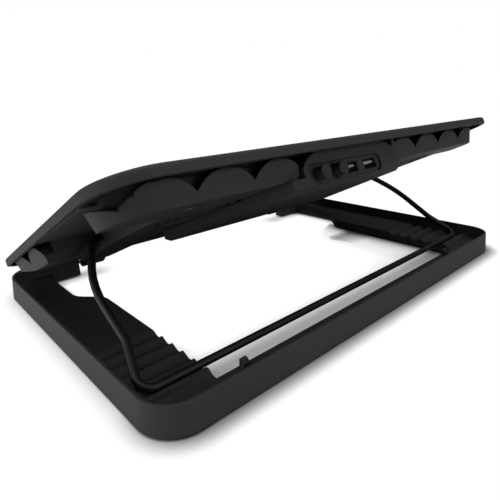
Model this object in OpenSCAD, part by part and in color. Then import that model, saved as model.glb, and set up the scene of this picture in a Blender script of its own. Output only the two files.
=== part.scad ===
// Tilting cooling pad for a notebook computer: a U-shaped base with a toothed
// rail on each side, a tray with two fans hinged at its front, and a bent wire
// stand that hangs from the tray and drops into one of the notches.

/* [Base] */
// Outer width of the base at its foot
base_w = 380; // [376:1:388]
// Outer depth of the base at its foot
base_d = 244; // [242:1:248]
// Height of the base's outer wall above its foot
base_h = 17.2; // [16.6:0.1:18]
// Corner radius at the foot of the base
base_r = 23; // [20:1:26]
// How far the rim is set in from the foot
base_draft = 2; // [1:0.1:2.4]
// Thickness of the base's walls and shelves
base_wall = 1.8; // [1.6:0.1:2.2]
// Height of the toothed shelf above the base's foot
shelf_h = 7.9; // [7.5:0.1:8.5]
// Height of the rear channel's floor above the base's foot
channel_h = 5; // [4.4:0.1:5.4]
// Half width of the gap between the toothed rails
gap_half = 141.7; // [139:0.1:143]
// Half width of the wider front part of the gap
gap_front_half = 158; // [156:0.5:160]
// Where the front rails end, measured from the middle
stub_x = 131; // [130.5:0.1:133]
// Front-to-back thickness of the front rails
stub_d = 11; // [10.6:0.1:13]
// How far the rubber feet lift the base
foot_lift = 1.5; // [1.2:0.1:2]
// Radius of a rubber foot
foot_r = 8; // [6.5:0.1:8.5]

/* [Teeth] */
// Distance from one notch to the next
notch_pitch = 11.6; // [11:0.1:12]
// Number of notches on each rail
notch_count = 5; // [4:1:5]
// Place of the rearmost notch behind the middle of the base
notch_rear_y = 88; // [87:0.1:89]
// Depth of a notch below the shelf
notch_depth = 2.6; // [2.4:0.1:2.8]
// Width of a notch at its floor
notch_floor = 3.4; // [3.3:0.1:3.6]
// Length of a notch's gentle front slope
notch_front = 5.2; // [5.1:0.1:5.4]
// Length of a notch's steep rear slope
notch_back = 2.2; // [2.1:0.1:2.3]

/* [Tray] */
// Angle of the tray in the lowest notch
tilt = 24.05; // [22:0.05:25]
// Hinge height above the floor
hinge_z = 13.5; // [13.4:0.1:14]
// How far the hinge lies behind the front of the base
hinge_in = 8; // [7.5:0.1:8.5]
// Radius of the hinge pins
hinge_pin_r = 2; // [1.5:0.1:2.2]
// Radius of the tray's hinge lugs
lug_r = 5.5; // [5:0.1:5.8]
// Width of the top plate
plate_w = 384; // [380:1:390]
// Depth of the top plate
plate_d = 238.3; // [236:0.1:242]
// Height of the plate's edge band
plate_t = 5.9; // [5.7:0.1:6.2]
// Height of the plate's top above the hinge
plate_top = 14.35; // [14.3:0.05:14.8]
// Distance of the plate's front edge behind the hinge
plate_front = 5.6; // [5.4:0.1:6.4]
// Corner radius of the plate
plate_r = 30; // [28:0.5:34]
// Thickness of the plate's skin
skin = 2.6; // [2.4:0.1:2.8]
// Thickness of the plate's edge band wall
skirt = 3; // [2.6:0.1:3.2]
// How far the lower housing hangs below the plate's band
hang = 12.1; // [11.8:0.1:12.4]
// How far the housing's foot is set in below its top
hang_draft = 3.5; // [3:0.1:4]
// Gap between the plate's edge and the housing's wall
housing_in = 5.5; // [5:0.1:6]
// Gap between the plate's rear edge and the housing's rear wall
housing_rear_in = 12.5; // [12:0.1:13]
// Thickness of the housing's walls
wall = 2.4; // [2.2:0.1:2.6]

/* [Stand] */
// Diameter of the stand's wire
wire_d = 5; // [4.8:0.1:5.2]
// How far the stand's arms lie inside the plate's sides
arm_in = 20; // [18:0.5:21]
// Least distance of the stand's arms from the base's wall
arm_gap = 13.6; // [12:0.1:14.6]
// How far the heads of the arms lie inside the arms
head_in = 17.5; // [16:0.5:19]
// Distance of the arms' upper bend from the pivot
shoulder_at = 34; // [32:0.5:36]
// Distance of the arms' kink from the bar
kink_at = 31; // [29:0.5:33]
// How far the corners of the foot lie outside the arms
foot_out = 9; // [8:0.5:10]
// Bend radius at the heads of the arms
head_bend = 7; // [6:0.5:8]
// Bend radius at the arms' upper bend
shoulder_bend = 75; // [60:1:80]
// Bend radius at the arms' kink
kink_bend = 10; // [8:0.5:12]
// Bend radius at the corners of the foot
foot_bend = 8; // [7:0.5:9]
// Distance of the stand's pivot behind the hinge
pivot_y = 118; // [117:0.1:119]
// Height of the stand's pivot above the hinge
pivot_z = 3.5; // [3.3:0.1:3.7]
// Gap left under the bar in its notch
seat_gap = 0.35; // [0.3:0.05:0.4]

/* [Fans] */
// Distance of each fan from the side wall of its space
fan_side = 33.6; // [33.4:0.1:36]
// Distance of each fan from the rear wall of its space
fan_in = 33.9; // [33.5:0.1:36]
// Outer radius of a fan's frame
fan_r = 31; // [29:0.5:31.5]
// Height of a fan's frame
fan_h = 9.5; // [9:0.1:10]
// Number of blades on each rotor
blade_count = 9; // [5:1:11]
// Radial clearance of a shaft in its bearing
run_fit = 0.05; // [0.02:0.01:0.08]

/* [Controls] */
// Middle of the control box
box_x = 24.3; // [23:0.1:26]
// Half width of the control box at its rear
box_rear_half = 56; // [54:0.5:58]
// Half width of the control box at its front
box_front_half = 86; // [80:0.5:88]
// Length of the control box from front to rear
box_len = 104; // [98:1:108]
// How far the control box hangs below the housing
box_drop = 8.5; // [8.2:0.1:9]
// Radius of the knob and of the button
knob_r = 4.4; // [4:0.1:4.6]
// How far the knob and the button stand out
knob_out = 5.4; // [4.5:0.1:6]
// Travel of the push button
press = 2; // [1.5:0.1:2.4]
// Width of a USB socket's shell
usb_w = 14.4; // [14.2:0.1:14.6]
// Height of a USB socket's shell
usb_h = 7; // [6.8:0.1:7.1]

/* [Stops] */
// Distance of each laptop stop from the middle
stop_x = 88; // [84:1:92]
// Width of a laptop stop
stop_w = 44; // [40:1:48]
// Length of a laptop stop
stop_len = 17; // [15:0.5:18]
// Gap around moving pieces
gap = 0.4; // [0.35:0.05:0.5]

/* [Hidden] */
$fn = 48;
eps = 0.02;
lap = 0.3;
swell = 0.015;
pin_fit = 0.02;
foot_z = foot_lift;
rim_z = foot_z + base_h;
shelf_z = foot_z + shelf_h;
channel_z = foot_z + channel_h;
hinge_y = -base_d / 2 + hinge_in;
inner_w = base_w - 2 * base_draft - 2 * base_wall;
inner_d = base_d - 2 * base_draft - 2 * base_wall;
inner_r = base_r - base_draft - base_wall;
last_top = notch_rear_y + notch_floor / 2 + notch_back + 3.1;
teeth_y = notch_rear_y - (notch_count - 1) * notch_pitch - notch_floor / 2 - notch_front;
plate_bot = plate_top - plate_t;
plate_rear = plate_front + plate_d;
skin_bot = plate_top - skin;
tub_half = plate_w / 2 - housing_in;
tub_rear = plate_rear - housing_rear_in;
tub_front = plate_front + 8.4;
tub_bot = plate_bot - hang;
tub_floor = tub_bot + wall;
tub_r = plate_r - 4;
arm_half = min(plate_w / 2 - arm_in, inner_w / 2 - arm_gap);
head_turn = 90 - atan2(head_in, shoulder_at);
bay_half = arm_half - head_in - head_bend * tan(head_turn / 2) - 1.2;
bay_top = max(pivot_z + wire_d / 2 + 0.6, plate_bot + 1);
bay_front = pivot_y - wire_d / 2 - 5.5;
bay_rear = tub_rear - 31.4;
cavity_half = bay_half - wall;
cavity_rear = tub_rear - 15;
cavity_front = tub_front + 50;
fan_x = cavity_half - fan_side;
fan_y = cavity_rear - fan_in;
box_bot = tub_bot - box_drop;
box_rear = plate_rear - 11.5;
box_front = box_rear - box_len;
block_x0 = box_x - box_rear_half;
block_x1 = box_x + box_rear_half - 11.8;
block_front = box_rear - 27;
crest_pitch = 37.4;
crest_rise = 9;
crest_low = tub_bot + 5.3;
crest_floor = crest_low - 3.2;
corner_rise = 8.6;
corner_run = 30;
corner_r = (corner_run * corner_run + corner_rise * corner_rise) / (2 * corner_rise);
crest_r = (crest_pitch * crest_pitch / 4 + crest_rise * crest_rise) / (2 * crest_rise);
crest_x = 66;
block_top = crest_low + crest_rise;
panel_x0 = box_x - 33.5;
panel_x1 = box_x + 41.5;
panel_z = tub_bot + 0.6;
panel_h = 12;
knob_x = box_x + 31;
button_x = box_x + 14;
usb_x = [box_x - 1.7, box_x - 22.8];
usb_len = 14;
board_top = panel_z - usb_h / 2;
board_t = 1.6;
board_x0 = max(panel_x0 - 4, block_x0 + 3);
board_x1 = min(panel_x1 + 2, block_x1 - 3);
mesh_half = plate_w / 2 - 42;
mesh_front = plate_front + 72;
mesh_rear = plate_rear - 36;
mesh_t = 1.2;
mesh_r = 12;
stop_t = 2.4;
stop_pin_r = 1;
stop_y = plate_front + 4.6;
stop_z = plate_top - stop_t - 0.1;
screw_r = 1.5;
head_r = 2.9;
screw_y = [cavity_front + 10.5, cavity_rear - 5.4];
screw_x = [cavity_half - 10, cavity_half - 90];
screw_at = [[-screw_x[0], screw_y[0]], [screw_x[0], screw_y[0]], [-screw_x[1], screw_y[0]],
            [screw_x[1], screw_y[0]], [-screw_x[0], screw_y[1]], [screw_x[0], screw_y[1]]];
foot_x = base_w / 2 - 18;
foot_y = base_d / 2 - 21;
foot_at = [[-foot_x, -foot_y], [foot_x, -foot_y], [-foot_x, foot_y], [foot_x, foot_y]];
lug_x = stub_x - 12.5;
lug_w = 19;
pad_x = plate_w / 2 - 24;
pad_w = 14;
pad_d = 40;
fan_z = tub_floor + 0.6;
rotor_r = fan_r - 2.6;
hub_r = 10;
bar_y = notch_rear_y + 0.1;
bar_z = shelf_z - notch_depth + seat_gap + wire_d / 2;
pivot_wy = hinge_y + pivot_y * cos(tilt) - pivot_z * sin(tilt);
pivot_wz = hinge_z + pivot_y * sin(tilt) + pivot_z * cos(tilt);
arm_dy = bar_y - pivot_wy;
arm_dz = bar_z - pivot_wz;
arm_len = sqrt(arm_dy * arm_dy + arm_dz * arm_dz);
arm_turn = atan2(arm_dz, arm_dy);
wire_at = [[cavity_half - 8, 0], [arm_half - head_in, 0], [arm_half, shoulder_at],
           [arm_half, arm_len - kink_at], [arm_half + foot_out, arm_len], [0, arm_len]];
wire_bend = [0, head_bend, shoulder_bend, kink_bend, foot_bend, 0];
black = [0.045, 0.046, 0.05];
dark = [0.03, 0.03, 0.033];
steel = [0.62, 0.63, 0.65];
gold = [0.78, 0.62, 0.28];
white = [0.86, 0.86, 0.84];
green = [0.05, 0.22, 0.12];
rubber = [0.06, 0.06, 0.06];

// Rounded rectangle centred on the origin
module round_rect(w, d, r) {
    square([w - 2 * r, d], center = true);
    square([w, d - 2 * r], center = true);
    for (sx = [-1, 1], sy = [-1, 1]) {
        translate([sx * (w / 2 - r), sy * (d / 2 - r)]) circle(r = r);
    }
}

// Rounded rectangle given by its corners
module round_span(x0, x1, y0, y1, r) {
    translate([(x0 + x1) / 2, (y0 + y1) / 2]) round_rect(x1 - x0, y1 - y0, r);
}

// Box with rounded corners whose sides lean out by grow over its height
module leaning_box(w, d, h, r, grow) {
    for (sx = [-1, 1], sy = [-1, 1]) {
        translate([sx * (w / 2 - r), sy * (d / 2 - r), 0]) cylinder(h = h, r1 = r, r2 = r + grow);
    }
    translate([-(w / 2 - r), 0, 0]) rotate([90, 0, 90]) linear_extrude(height = w - 2 * r)
        polygon([[-d / 2, 0], [d / 2, 0], [d / 2 + grow, h], [-d / 2 - grow, h]]);
    translate([0, d / 2 - r, 0]) rotate([90, 0, 0]) linear_extrude(height = d - 2 * r)
        polygon([[-w / 2, 0], [w / 2, 0], [w / 2 + grow, h], [-w / 2 - grow, h]]);
}

// Cylinder along X from x0 to x1
module rod(x0, x1, r) {
    translate([x0, 0, 0]) rotate([0, 90, 0]) cylinder(h = x1 - x0, r = r);
}

// Puts a piece of the tray at the hinge, tilted
module on_tray() {
    translate([0, hinge_y, hinge_z]) rotate([tilt, 0, 0]) children();
}

// Outline of one side of the gap in the base, grown by g
function side_gap(g) = [
    [0, -base_d / 2 - 20],
    [stub_x - g, -base_d / 2 - 20],
    [stub_x - g, -base_d / 2 + stub_d + g],
    [gap_front_half - 8 + g, -base_d / 2 + stub_d + g],
    [gap_front_half - 2.4 + g, -base_d / 2 + stub_d + 2.4 + g],
    [gap_front_half + g, -base_d / 2 + stub_d + 8 + g],
    for (i = [0 : 8]) [
        gap_half + g + (gap_front_half - gap_half) * (1 + cos(i * 22.5)) / 2,
        -57 + 26 * i / 8
    ],
    [gap_half + g, base_d / 2 - 21 + g],
    [0, base_d / 2 - 21 + g]
];

module gap_plan(g) {
    polygon(side_gap(g));
    mirror([1, 0]) polygon(side_gap(g));
}

module notch_profile() {
    polygon([[-notch_floor / 2 - notch_front, 0.01], [-notch_floor / 2, -notch_depth],
             [notch_floor / 2, -notch_depth], [notch_floor / 2 + notch_back, 0.01],
             [notch_floor / 2 + notch_back, 3], [-notch_floor / 2 - notch_front, 3]]);
}

module base_clip() {
    translate([-2.4, 0, 0]) rotate([90, 0, 90]) linear_extrude(height = 4.8)
        polygon([[0, -1], [4.4, -1], [4.4, 2.6], [2.6, 4.6], [0.9, 5.3], [0, 5]]);
}

// Space under the rails between y0 and y1, open at the bottom
module hollow(h, y0, y1) {
    translate([0, 0, foot_z - 1]) linear_extrude(height = h + 1) difference() {
        intersection() {
            round_rect(inner_w, inner_d, inner_r);
            translate([-base_w / 2, y0]) square([base_w, y1 - y0]);
        }
        gap_plan(base_wall);
        for (p = foot_at) {
            translate(p) circle(r = foot_r + 2.4);
        }
    }
}

// The whole base moulding without its clips
module base_body() {
    difference() {
        translate([0, 0, rim_z]) mirror([0, 0, 1])
            leaning_box(base_w - 2 * base_draft, base_d - 2 * base_draft, base_h, base_r - base_draft, base_draft);
        // Space above the shelf, inside the outer wall
        translate([0, 0, shelf_z]) linear_extrude(height = base_h) intersection() {
            round_rect(inner_w, inner_d, inner_r);
            union() {
                translate([-base_w / 2, -base_d / 2 + stub_d]) square([base_w, base_d]);
                translate([-stub_x, -base_d / 2]) square([2 * stub_x, base_d]);
            }
        }
        // Gap in the middle, open at the front
        translate([0, 0, -1]) linear_extrude(height = rim_z + 2) gap_plan(0);
        // Rear channel with a sloped front
        intersection() {
            translate([-inner_w / 2, 0, 0]) rotate([90, 0, 90]) linear_extrude(height = inner_w)
                polygon([[last_top, shelf_z], [last_top + 2.7, channel_z], [inner_d / 2, channel_z],
                         [inner_d / 2, rim_z], [last_top, rim_z]]);
            linear_extrude(height = rim_z) round_rect(inner_w, inner_d, inner_r);
        }
        // Notches
        for (i = [0 : notch_count - 1]) {
            translate([-inner_w / 2 + 1, notch_rear_y - i * notch_pitch, shelf_z])
                rotate([90, 0, 90]) linear_extrude(height = inner_w - 2) notch_profile();
        }
        // Hollow under the rails, shallower under the teeth and the rear channel
        hollow(shelf_h - base_wall, -base_d / 2 + stub_d + base_wall, teeth_y - 2);
        hollow(shelf_h - notch_depth - base_wall, teeth_y - 2, base_d / 2);
        // Seats of the rubber feet
        for (p = foot_at) {
            translate([p[0], p[1], foot_z - 1]) cylinder(h = 2, r = foot_r + pin_fit);
        }
        // Seats of the hinge pins
        for (s = [-1, 1]) {
            translate([0, hinge_y, hinge_z]) rod(s > 0 ? stub_x - 1 : -stub_x - 12, s > 0 ? stub_x + 12 : -stub_x + 1,
                                                 hinge_pin_r + pin_fit);
        }
    }
}

// Room of the toothed part of one rail
module rack_room(s) {
    translate([s > 0 ? gap_half - 1 : -inner_w / 2, teeth_y, -1])
        cube([inner_w / 2 - gap_half + 1, last_top - teeth_y, shelf_z + 2]);
}

module base_frame() {
    color(black) difference() {
        base_body();
        rack_room(1);
        rack_room(-1);
    }
    color(black) for (s = [-1, 1]) {
        translate([s * 123.4, base_d / 2 - 20.8, channel_z]) base_clip();
    }
}

module tooth_rack_right() {
    color(black) intersection() {
        base_body();
        rack_room(1);
    }
}

module tooth_rack_left() {
    color(black) intersection() {
        base_body();
        rack_room(-1);
    }
}

module base_feet() {
    color(rubber) for (p = foot_at) {
        translate([p[0], p[1], 0]) cylinder(h = foot_z + 1, r = foot_r);
    }
}

module hinge_pins() {
    color(steel) for (s = [-1, 1]) {
        translate([0, hinge_y, hinge_z])
            rod(s > 0 ? stub_x - 18 : -stub_x - 11.8, s > 0 ? stub_x + 11.8 : -stub_x + 18, hinge_pin_r);
    }
}

function along(i) = (wire_at[i + 1] - wire_at[i]) / norm(wire_at[i + 1] - wire_at[i]);
function turn(i) = atan2(along(i - 1)[0] * along(i)[1] - along(i - 1)[1] * along(i)[0], along(i - 1) * along(i));
function cut(i) = wire_bend[i] == 0 ? 0 : wire_bend[i] * tan(abs(turn(i)) / 2);

// Straight wire from point i of the plan to the next
module wire_run(i) {
    from = wire_at[i] + along(i) * (cut(i) - (wire_bend[i] == 0 ? 0 : lap));
    to = wire_at[i + 1] - along(i) * (cut(i + 1) - (wire_bend[i + 1] == 0 ? 0 : lap));
    translate(from) rotate(atan2(along(i)[1], along(i)[0])) rod(0, norm(to - from), wire_d / 2);
}

// Bend of the wire at point i of the plan
module wire_turn(i) {
    side = sign(turn(i));
    from = wire_at[i] - along(i - 1) * cut(i);
    centre = from + wire_bend[i] * side * [-along(i - 1)[1], along(i - 1)[0]];
    start = atan2(from[1] - centre[1], from[0] - centre[0]);
    translate(centre) rotate(side > 0 ? start : start - abs(turn(i)))
        rotate_extrude(angle = abs(turn(i)), $fn = 240) translate([wire_bend[i], 0])
            circle(d = wire_d + 2 * swell, $fn = 48);
}

module wire_half() {
    for (i = [0 : 3]) {
        wire_run(i);
        wire_turn(i + 1);
    }
}

module wire_stand() {
    color(dark) translate([0, pivot_wy, pivot_wz]) rotate([arm_turn, 0, 0]) {
        wire_half();
        mirror([1, 0, 0]) wire_half();
        translate([0, arm_len, 0]) rod(-arm_half - foot_out + cut(4) - lap, arm_half + foot_out - cut(4) + lap, wire_d / 2);
    }
}

// Recesses between the rounded crests of the housing's rear wall, round its corners and along its sides
module crest_cuts() {
    for (s = [-1, 1]) {
        difference() {
            translate([0, 0, crest_floor]) linear_extrude(height = plate_top - crest_low) intersection() {
                difference() {
                    round_span(-tub_half - 1, tub_half + 1, tub_front, tub_rear + 1, tub_r + 1);
                    round_span(-tub_half + 9, tub_half - 9, tub_front, tub_rear - 9, tub_r - 9);
                }
                translate([s > 0 ? block_x1 - 12 : -plate_w / 2, bay_rear - 1])
                    square([s > 0 ? plate_w / 2 - block_x1 + 12 : plate_w / 2 + block_x0 - 4, plate_d]);
            }
            for (i = [0 : 3]) {
                translate([s * (crest_x + crest_pitch * (i - 0.5)), tub_rear - 40, crest_low + crest_rise - crest_r])
                    rotate([-90, 0, 0]) cylinder(h = 60, r = crest_r);
            }
            translate([s > 0 ? tub_half - 20 : -tub_half - 10, bay_rear - 4, crest_floor + corner_rise - corner_r])
                rotate([0, 90, 0]) cylinder(h = 30, r = corner_r);
        }
        difference() {
            translate([s > 0 ? tub_half - 9 : -tub_half - 1, bay_front - 1.5 * crest_pitch, crest_low])
                cube([10, 1.5 * crest_pitch + 1, plate_top - crest_low - 1.8]);
            for (i = [0 : 1]) {
                translate([s > 0 ? tub_half - 20 : -tub_half - 10, bay_front - crest_pitch * (i + 0.5),
                           crest_low + crest_rise - crest_r])
                    rotate([0, 90, 0]) cylinder(h = 30, r = crest_r);
            }
        }
    }
}

module lower_housing() {
    color(black) on_tray() difference() {
        union() {
            housing_shell();
            // Bearings of the stand
            for (s = [-1, 1]) {
                translate([0, pivot_y, pivot_z])
                    rod(s > 0 ? cavity_half - 5 : -cavity_half - eps, s > 0 ? cavity_half + eps : 5 - cavity_half, 5);
            }
        }
        for (s = [-1, 1]) {
            translate([0, pivot_y, pivot_z]) rod(s > 0 ? cavity_half - 10 : -plate_w / 2,
                                                 s > 0 ? plate_w / 2 : -cavity_half + 10, wire_d / 2 + run_fit);
        }
    }
}

// Wedge under the front of the housing, w wide
module sloped_cut(w) {
    rotate([90, 0, 90]) linear_extrude(height = w)
        polygon([[-40, tub_bot + 7.3], [tub_front, tub_bot + 7.3], [cavity_front + 7, tub_bot],
                 [cavity_front + 7, tub_bot - 9], [-40, tub_bot - 9]]);
}

module housing_shell() {
    difference() {
        union() {
            translate([0, (tub_front + tub_rear) / 2, plate_bot]) mirror([0, 0, 1])
                leaning_box(2 * tub_half, tub_rear - tub_front, hang, tub_r, -hang_draft);
            translate([0, 0, plate_bot]) linear_extrude(height = skin_bot - plate_bot)
                round_span(-tub_half, tub_half, tub_front, tub_rear, tub_r);
            for (s = [-1, 1]) {
                translate([s * lug_x, 0, 0]) rod(-lug_w / 2, lug_w / 2, lug_r);
                translate([s * lug_x - lug_w / 2, 0, 0]) rotate([90, 0, 90]) linear_extrude(height = lug_w)
                    polygon([[0, -lug_r], [4, -lug_r], [tub_front + 8, 1.2], [tub_front + 12, 1.2],
                             [tub_front + 12, lug_r], [0, lug_r]]);
            }
        }
        // Sloped front of the underside, beside and between the lugs
        for (s = [-1, 1]) {
            translate([s > 0 ? lug_x + lug_w / 2 + 0.5 : -plate_w / 2, 0, 0])
                sloped_cut(plate_w / 2 - lug_x - lug_w / 2 - 0.5);
        }
        translate([-lug_x + lug_w / 2 + 0.5, 0, 0]) sloped_cut(2 * lug_x - lug_w - 1);
        // Inside of the tub
        translate([0, 0, tub_floor]) linear_extrude(height = 40)
            round_span(-cavity_half, cavity_half, cavity_front, cavity_rear, 8);
        translate([0, 0, plate_bot + 1]) linear_extrude(height = 40)
            round_span(-cavity_half, cavity_half, tub_front + wall, cavity_front + 20, 8);
        // Bays for the stand's arms
        for (s = [-1, 1]) {
            translate([s > 0 ? bay_half : -plate_w, bay_front, tub_bot - 1])
                cube([plate_w - bay_half, bay_rear - bay_front, bay_top - tub_bot + 1]);
            translate([s > 0 ? bay_half : -plate_w, 0, 0]) rotate([90, 0, 90]) linear_extrude(height = plate_w - bay_half)
                polygon([[bay_front + 1, tub_bot - 1], [bay_front + 1, tub_bot + 3], [bay_front, tub_bot + 3],
                         [bay_front - 3, tub_bot], [bay_front - 3, tub_bot - 1]]);
            rod(s > 0 ? stub_x - 31 : -stub_x - 9, s > 0 ? stub_x + 9 : 31 - stub_x, hinge_pin_r + run_fit);
        }
        crest_cuts();
        for (s = [-1, 1]) {
            stop_pocket(s);
        }
        // Room for the control block
        translate([block_x0 - 0.2, block_front - 0.2, tub_bot - 1])
            cube([block_x1 - block_x0 + 0.4, 60, plate_top - tub_bot + 1]);
        // Air slots under the fans
        for (s = [-1, 1]) {
            translate([s * fan_x, fan_y, tub_bot - 1]) linear_extrude(height = wall + 2) air_slots();
        }
        // Screw holes and their head seats
        for (p = screw_at) {
            translate([p[0], p[1], tub_bot - 1]) cylinder(h = wall + 2, r = screw_r + 0.2);
            translate([p[0], p[1], tub_bot - 1]) cylinder(h = 2.2, r = head_r + 0.2);
        }
    }
}

// Three rings of curved slots, parted by four ribs
module air_slots() {
    difference() {
        union() {
            for (r = [13.5, 19.5, 25.5]) {
                difference() {
                    circle(r = r + 1.9);
                    circle(r = r - 1.9);
                }
            }
        }
        rotate(35) square([80, 3], center = true);
        rotate(125) square([80, 3], center = true);
    }
}

// Space in which a laptop stop lies and turns
module stop_pocket(s) {
    translate([s * stop_x - stop_w / 2 - gap, stop_y - 2.7, plate_top - stop_t - 2.8])
        cube([stop_w + 2 * gap, stop_len + 2.7 + gap, 10]);
}

module top_plate() {
    color(black) on_tray() difference() {
        union() {
            difference() {
                translate([0, 0, plate_bot]) linear_extrude(height = plate_t)
                    round_span(-plate_w / 2, plate_w / 2, plate_front, plate_rear, plate_r);
                translate([0, 0, plate_bot - 1]) linear_extrude(height = plate_t - skin + 1)
                    round_span(-plate_w / 2 + skirt, plate_w / 2 - skirt, plate_front + skirt,
                               plate_rear - skirt, plate_r - skirt);
            }
            // Ears that hold the stops' pins
            for (s = [-1, 1], e = [-1, 1]) {
                translate([s * stop_x + e * (stop_w / 2 + gap + 1.7) - 1.7, plate_front + 1, stop_z - 2.4])
                    cube([3.4, 6.4, skin_bot - stop_z + 2.4 + eps]);
            }
            // Bosses for the screws
            for (p = screw_at) {
                translate([p[0], p[1], tub_floor]) cylinder(h = skin_bot - tub_floor + eps, r = 3.6);
            }
        }
        // Window for the mesh panel, with a ledge
        translate([0, 0, plate_top - mesh_t - 0.4]) linear_extrude(height = 10)
            round_span(-mesh_half - 0.2, mesh_half + 0.2, mesh_front - 0.2, mesh_rear + 0.2, mesh_r + 0.2);
        for (s = [-1, 1]) {
            translate([0, 0, 0]) linear_extrude(height = 40)
                round_span(s > 0 ? 3 : -mesh_half + 4, s > 0 ? mesh_half - 4 : -3, mesh_front + 4, mesh_rear - 4,
                           mesh_r - 4);
            stop_pocket(s);
            translate([0, stop_y, stop_z]) rod(s * stop_x - stop_w / 2 - 3.5, s * stop_x + stop_w / 2 + 3.5,
                                               stop_pin_r + pin_fit);
        }
        for (p = screw_at) {
            translate([p[0], p[1], tub_floor - 1]) cylinder(h = 10, r = screw_r + pin_fit);
        }
    }
}

module mesh_panel() {
    slot_w = 4.4;
    rows = 4;
    columns = 29;
    row_d = (mesh_rear - mesh_front - 20) / rows;
    color(dark) on_tray() translate([0, 0, plate_top - mesh_t - 0.4]) linear_extrude(height = mesh_t) difference() {
        round_span(-mesh_half, mesh_half, mesh_front, mesh_rear, mesh_r);
        for (j = [0 : rows - 1], i = [0 : columns - 1]) {
            translate([(i - (columns - 1) / 2) * 9.8, mesh_front + 10 + row_d * (j + 0.5)])
                round_rect(slot_w, row_d - 5, slot_w / 2 - 0.01);
        }
    }
}

module grip_pads() {
    color(rubber) on_tray() translate([0, 0, plate_top]) for (s = [-1, 1]) {
        linear_extrude(height = 0.9)
            round_span(s * pad_x - pad_w / 2, s * pad_x + pad_w / 2, plate_rear - 34 - pad_d, plate_rear - 34, 4);
        linear_extrude(height = 0.9)
            round_span(s * pad_x - pad_w / 2, s * pad_x + pad_w / 2, plate_front + pad_d, plate_front + 2 * pad_d, 4);
    }
}

module fan_frame() {
    translate([0, 0, fan_z - 0.6]) difference() {
        union() {
            difference() {
                cylinder(h = fan_h, r = fan_r);
                translate([0, 0, -1]) cylinder(h = fan_h + 2, r = fan_r - 1.8);
            }
            cylinder(h = 1.4, r = hub_r);
            for (a = [80, 200, 320]) {
                rotate(a) translate([0, -1.6, 0]) cube([fan_r - 1, 3.2, 1.4]);
            }
            cylinder(h = 4.2, r = 2.6);
        }
        translate([0, 0, -1]) cylinder(h = 10, r = 1 + run_fit);
    }
}

module fan_rotor() {
    translate([0, 0, fan_z]) {
        difference() {
            translate([0, 0, 1.6]) cylinder(h = 6.4, r = hub_r);
            translate([0, 0, 1]) cylinder(h = 5.6, r = hub_r - 1.2);
        }
        translate([0, 0, -0.3]) cylinder(h = 7.4, r = 1);
        for (i = [0 : blade_count - 1]) {
            rotate(i * 360 / blade_count) translate([hub_r - 0.6, 0, 4.7]) rotate([38, 0, 0])
                translate([0, -4, -0.5]) cube([rotor_r - hub_r - 0.6, 8, 1]);
        }
    }
}

module fan_stator() {
    translate([0, 0, fan_z + 0.8]) difference() {
        cylinder(h = 3.6, r = hub_r - 2);
        translate([0, 0, -1]) cylinder(h = 10, r = 2.6 + pin_fit);
        for (a = [0 : 45 : 315]) {
            rotate(a) translate([hub_r - 4.2, -0.6, -1]) cube([5, 1.2, 8]);
        }
    }
}

module fan_frame_right() {
    color(dark) on_tray() translate([fan_x, fan_y, 0]) fan_frame();
}

module fan_frame_left() {
    color(dark) on_tray() translate([-fan_x, fan_y, 0]) fan_frame();
}

module fan_rotor_right() {
    color(dark) on_tray() translate([fan_x, fan_y, 0]) fan_rotor();
}

module fan_rotor_left() {
    color(dark) on_tray() translate([-fan_x, fan_y, 0]) fan_rotor();
}

module fan_stators() {
    color(gold) on_tray() for (s = [-1, 1]) {
        translate([s * fan_x, fan_y, 0]) fan_stator();
    }
}

module fan_leads() {
    lead_y = block_front - 6;
    color(dark) on_tray() for (s = [-1, 1]) {
        y = lead_y - 2.5 * s;
        reach = sqrt(pow(fan_r + 0.4, 2) - pow(y - fan_y, 2)) + 1;
        x0 = s > 0 ? box_x + 20 : -fan_x + reach;
        x1 = s > 0 ? fan_x - reach : box_x - 20;
        translate([0, y, tub_floor + 0.95]) rod(x0, x1, 0.9);
    }
}

module box_plan(g) {
    polygon([[box_x - box_rear_half + g, box_rear - g], [box_x + box_rear_half - g, box_rear - g],
             [box_x + box_front_half - g, box_front + g], [box_x - box_front_half + g, box_front + g]]);
}

module panel_plan(g) {
    translate([(panel_x0 + panel_x1) / 2, panel_z]) round_rect(panel_x1 - panel_x0 + 2 * g, panel_h + 2 * g, 5 + g);
}

// Moves a plan drawn in X and Z to stand at the rear, growing rearwards
module facing_rear(y0, len) {
    translate([0, y0 + len, 0]) rotate([90, 0, 0]) linear_extrude(height = len) children();
}

module control_box() {
    color(black) on_tray() difference() {
        union() {
            translate([0, 0, box_bot + 2.4]) linear_extrude(height = box_drop - 2.4) box_plan(0);
            hull() {
                translate([0, 0, box_bot + 2.4]) linear_extrude(height = 0.2) box_plan(0);
                translate([0, 0, box_bot]) linear_extrude(height = 0.2) box_plan(2.6);
            }
            intersection() {
                translate([block_x0, block_front, tub_bot - 1])
                    cube([block_x1 - block_x0, box_rear - block_front, block_top - tub_bot + 1]);
                union() {
                    for (x = [block_x0 + crest_pitch / 2, block_x1 - crest_pitch / 2]) {
                        translate([x, block_front - 1, block_top - crest_r]) rotate([-90, 0, 0])
                            cylinder(h = 40, r = crest_r);
                    }
                    translate([block_x0 + crest_pitch / 2, block_front - 1, tub_bot - 2])
                        cube([block_x1 - block_x0 - crest_pitch, 40, block_top - tub_bot + 2]);
                }
            }
        }
        // Inside of the box
        translate([0, 0, box_bot + 2.2]) linear_extrude(height = 40) intersection() {
            box_plan(2.6);
            translate([-plate_w, box_front]) square([2 * plate_w, block_front - box_front]);
        }
        translate([block_x0 + 2.6, block_front - 1, box_bot + 2.2])
            cube([block_x1 - block_x0 - 5.2, box_rear - block_front - 2.6, crest_low - 0.8 - box_bot]);
        facing_rear(box_rear - 20, 40) panel_plan(0.2);
    }
}

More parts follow.
